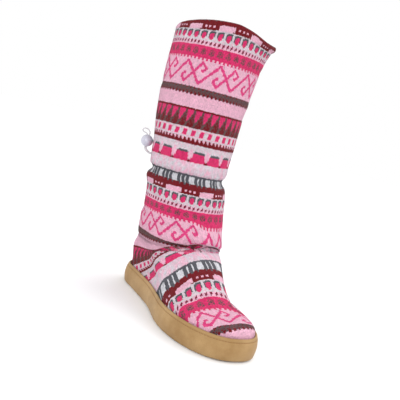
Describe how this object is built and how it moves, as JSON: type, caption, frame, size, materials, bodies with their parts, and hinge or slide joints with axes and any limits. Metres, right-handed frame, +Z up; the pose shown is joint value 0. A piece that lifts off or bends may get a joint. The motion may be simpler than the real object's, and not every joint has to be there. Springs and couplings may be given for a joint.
{
  "type": "slipper sock",
  "caption": "Tall knitted slipper boot for the right foot, with a banded knit shaft, fold-over collar, cinched ankle with cord lock and a suede platform sole.",
  "frame": {"origin": "on the floor under the axis of the shaft, on the flat heel of the sole", "axes": "+X towards the toe, +Y towards the inner side of the foot, +Z up along the shaft"},
  "size_m": [0.2656, 0.13, 0.3421],
  "materials": {
    "sole_suede": "napped suede, tan",
    "insole_fleece": "short fleece pile, cream",
    "knit": "stocking stitch acrylic knit in coloured bands",
    "cord": "thin round elastic cord, light grey",
    "lock_plastic": "glossy silver grey"
  },
  "bodies": {
    "root": {"sole": "sole_suede", "insole": "insole_fleece", "upper": "knit", "drawcord": "cord", "cord_lock": "lock_plastic"}
  },
  "joints": []
}
